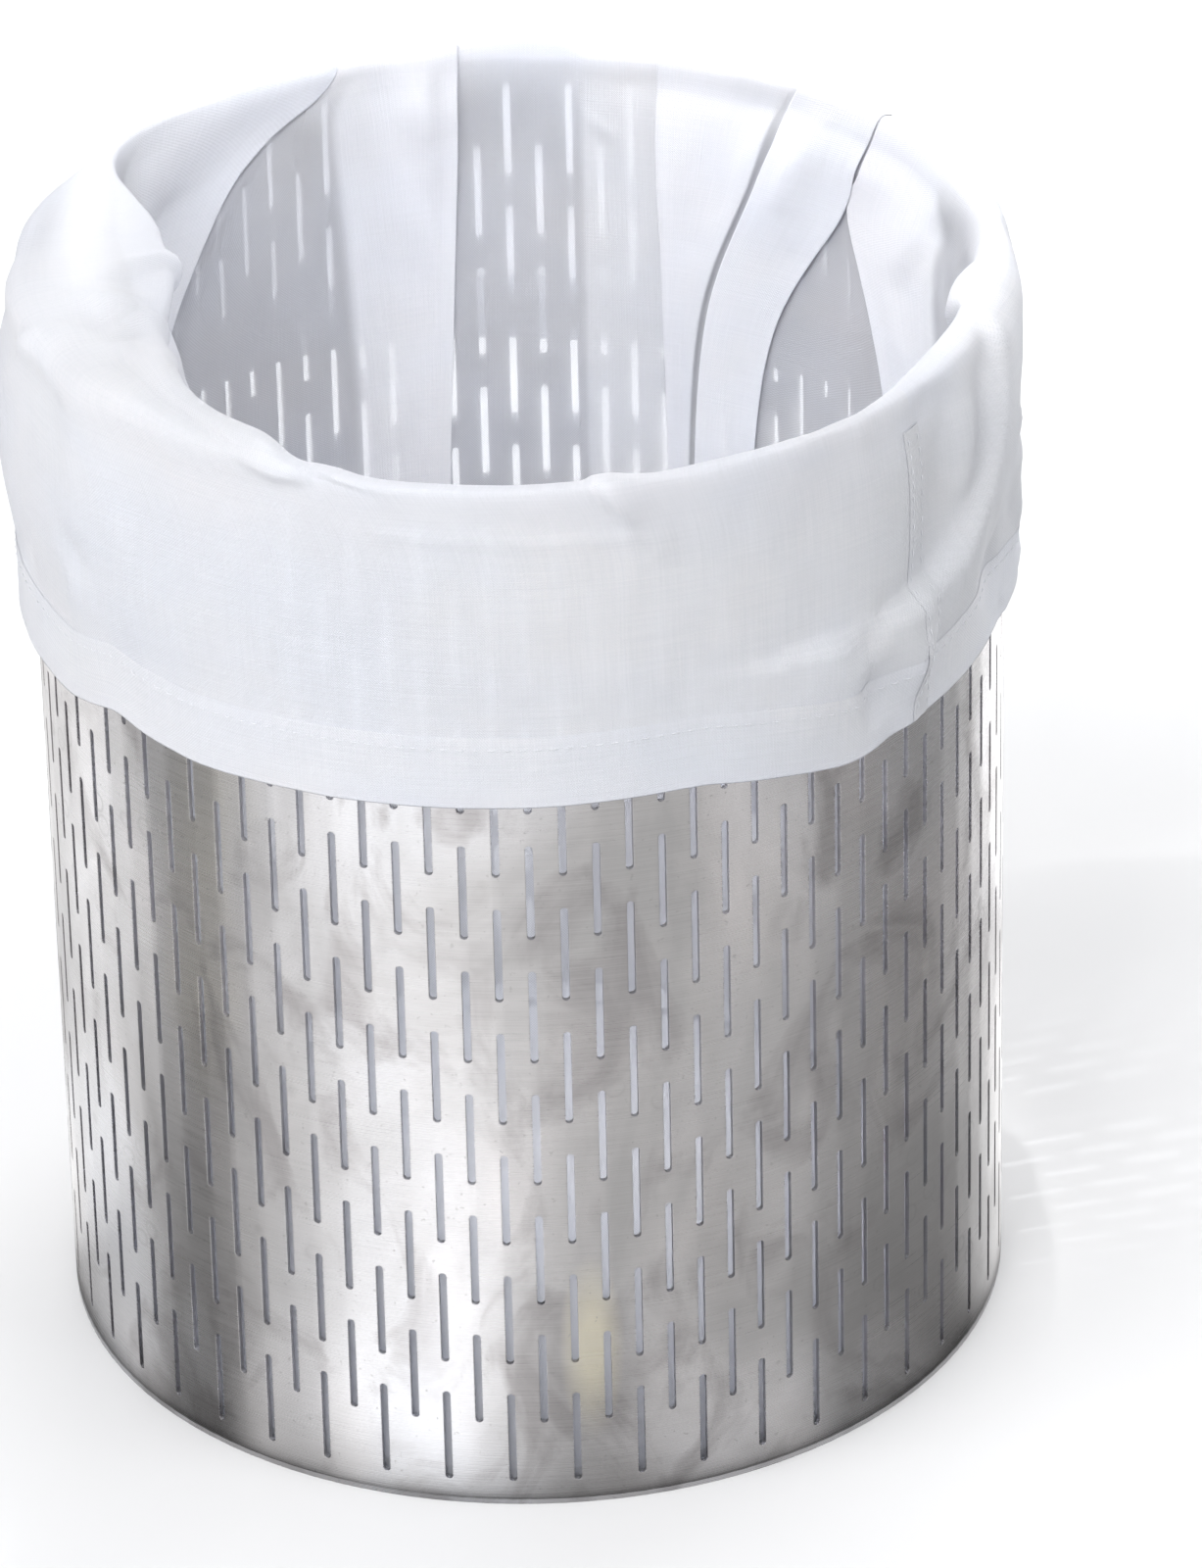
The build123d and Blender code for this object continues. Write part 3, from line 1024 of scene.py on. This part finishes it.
def floor_stitches():
    """Two rows of stitches round the seam of the bag's floor."""
    thread_height = bag_foot + 3.35
    stitches = []
    for inset in (3.0, 6.2):
        reach = lining_radius - inset
        count = round(2 * pi * reach / STITCH_PITCH)
        for index in range(count):
            turn = 2 * pi * index / count
            center = np.array(ring_point(reach, turn, thread_height))
            along = np.array([cos(turn), sin(turn), 0.0])
            stitches.append((center, along, np.array([0.0, 0.0, 1.0])))
    return stitched("floor_stitches", stitches, None)


bag, bag_length = bag_cloth()
bag_base = base_cloth()
floor_ring = seam_ring()
strip = side_strip()
hem_sewing = hem_stitches()
side_sewing = side_stitches()
floor_sewing = floor_stitches()

# ---- stage, lights and camera


def studio_floor():
    """Pale floor that curves up all round into a backdrop, glowing the more the further out as painted
    light.
    """
    flat, curve, top = 6.0, 2.0, 9.0
    outline = [(reach, 0.0) for reach in (0.001, 0.5, 1.0, 2.0, 3.0, 4.5, flat)]
    outline += [(flat + curve * sin(a), curve - curve * cos(a)) for a in np.linspace(0.1, pi / 2, 12)]
    outline += [(flat + curve, top)]
    spokes = 96
    vertices = []
    for reach, height in outline:
        for spoke in range(spokes):
            turn = 2 * pi * spoke / spokes
            vertices.append(ring_point(reach, turn, height))
    n = Nodes("floor_paint")
    place = n.add("VectorMath", operation="LENGTH")
    n.put(place, 0, n.position())
    shader = n.add("BsdfPrincipled")
    n.fill(shader, {
        "Base Color": (0.93, 0.93, 0.935, 1), "Roughness": 0.9,
        "Emission Color": (1.0, 1.0, 1.0, 1),
        "Emission Strength": n.remap(place.outputs["Value"], 0.15, 3.0, 0.0, 0.9),
    })
    n.put(n.output, "Surface", shader.outputs[0])
    faces = grid_faces(len(outline), spokes, closed=True)
    floor = new_object("floor", vertices, faces, n.material)
    floor.visible_diffuse = False
    floor.visible_glossy = False
    return floor


# Brightness of the room by the place on the wall, from its front to its right, that mirrors
# it towards the camera
MIRRORED = {
    -90: 1.1, -58: 1.25, -53: 1.0, -49: 0.34, -40: 0.27, -35: 0.98, -27: 1.04, -22: 1.56, -8: 1.5, -3: 1.0,
    10: 0.75, 32: 0.74, 39: 0.42, 52: 0.36, 64: 0.36, 69: 1.05, 74: 1.9, 90: 1.9,
}

# Dimming of the ground towards the foot of the wall: distance from the middle, share of light
GROUND = {0.0951: 0.08, 0.0962: 0.35, 0.0985: 0.62, 0.103: 0.74, 0.12: 0.80, 0.16: 0.90, 0.22: 1.0, 0.9: 1.0}


def mirrored_directions(reach):
    """Direction in which a ring of the ground is seen in each part of the wall."""
    radius = wall_radius * MM
    places = np.linspace(-89, 89, 179)
    turn = np.radians(places)
    run = -radius * np.cos(turn) + np.sqrt(reach**2 - (radius * np.sin(turn)) ** 2)
    x = radius * np.sin(turn) + run * np.sin(2 * turn)
    y = -radius * np.cos(turn) - run * np.cos(2 * turn)
    return np.degrees(np.unwrap(np.arctan2(x, -y))), places


def light_tent():
    """Ground and cards round the mold, pale and dark, that only its steel mirrors."""
    reaches = [0.0951, 0.0958, 0.097, 0.099, 0.102, 0.106, 0.112, 0.12, 0.13, 0.142, 0.158, 0.178, 0.2, 0.23]
    reaches += [0.27, 0.32, 0.38, 0.46, 0.56, 0.7, 0.8, 0.85]
    heights = [0.001] * (len(reaches) - 2) + [0.1, 0.5]
    spokes = 240
    vertices, glow = [], []
    for reach, height in zip(reaches, heights):
        directions, places = mirrored_directions(reach)
        for spoke in range(spokes):
            direction = -180 + 360 * spoke / spokes
            place = float(np.interp(direction, directions, places))
            bright = float(np.interp(place, *zip(*MIRRORED.items())))
            bright *= float(np.interp(reach, *zip(*GROUND.items())))
            x, y, z = ring_point(reach, radians(direction), height)
            cloudy = noise.fractal(Vector((x * 14 + 3, y * 14, 2)), 0.8, 2.0, 4)
            vertices.append((x, y, z))
            glow.append(max(bright * (1 + 0.6 * cloudy), 0.02))
    n = Nodes("tent_card")
    shader = n.add("Emission")
    n.put(shader, "Strength", n.attribute("glow"))
    n.put(n.output, "Surface", shader.outputs[0])
    tent = new_object("tent", vertices, grid_faces(len(reaches), spokes, closed=True), n.material)
    add_attribute(tent, "glow", glow)
    for ray in ("camera", "diffuse", "shadow", "transmission", "volume_scatter"):
        setattr(tent, "visible_" + ray, False)
    return tent


def hang(data, place, aim, power):
    """Hangs a lamp and points it. The lamp itself isn't seen or mirrored."""
    data.energy = power
    lamp = bpy.data.objects.new(data.name, data)
    lamp.location = place
    lamp.rotation_euler = (Vector(aim) - Vector(place)).to_track_quat("-Z", "Y").to_euler()
    lamp.visible_glossy = False
    lamp.visible_camera = False
    bpy.context.scene.collection.objects.link(lamp)


def soft_light(name, place, aim, size, power):
    data = bpy.data.lights.new(name, "AREA")
    data.shape = "RECTANGLE"
    data.size, data.size_y = size
    hang(data, place, aim, power)


def into_the_bag(name, place, aim, beam, power):
    """Narrow beam, in degrees, over the near rim onto the far inside of the bag."""
    data = bpy.data.lights.new(name, "SPOT")
    data.spot_size = radians(beam)
    data.spot_blend = 0.6
    data.shadow_soft_size = 0.04
    hang(data, place, aim, power)


def camera():
    """Long lens, a little above the rim, rolled slightly anticlockwise."""
    tilt, roll = radians(29.86), radians(-1.30)
    distance = 18.0 * wall_radius * MM
    aim = Vector((0.1573, 0, 1.134)) * wall_radius * MM
    forward = Vector((0, cos(tilt), -sin(tilt)))
    right = cos(roll) * Vector((1, 0, 0)) + sin(roll) * Vector((0, sin(tilt), cos(tilt)))
    up = right.cross(forward)
    data = bpy.data.cameras.new("camera")
    data.sensor_fit = "VERTICAL"
    data.sensor_height = 36.0
    data.lens = 197.0
    data.clip_end = 20
    eye = bpy.data.objects.new("camera", data)
    turned = Matrix((right, up, -forward)).transposed().to_4x4()
    eye.matrix_world = Matrix.Translation(aim - distance * forward) @ turned
    bpy.context.scene.collection.objects.link(eye)
    bpy.context.scene.camera = eye


studio_floor()
light_tent()
soft_light("behind", (0.65, 1.5, 0.6), (0, 0.1, 0.12), (2.0, 0.8), 23)
soft_light("left", (-1.4, -0.9, 1.0), (0, 0, 0.15), (1.2, 1.0), 15)
soft_light("right", (1.5, -1.0, 1.2), (0, 0, 0.15), (1.2, 1.2), 10)
soft_light("front", (-0.5, -1.25, 1.15), (0, 0.05, 0.2), (0.6, 0.6), 9)
into_the_bag("beam_back", (0.08, -0.69, 1.39), (-0.01, 0.09, 0.11), 6.4, 70)
into_the_bag("beam_right", (-0.79, -0.23, 1.48), (0.09, 0.03, 0.12), 6.4, 52)
into_the_bag("beam_down", (0.02, 0.01, 1.5), (0.02, 0.01, 0), 5.4, 100)
into_the_bag("beam_front", (0, 0.89, 0.95), (0, -0.092, 0.09), 8.4, 80)

world = bpy.data.worlds.new("room")
world.use_nodes = True
background = world.node_tree.nodes["Background"].inputs
background["Color"].default_value = (0.97, 0.98, 1.0, 1)
background["Strength"].default_value = 0.52
bpy.context.scene.world = world
bpy.context.scene.view_settings.view_transform = "Standard"
camera()
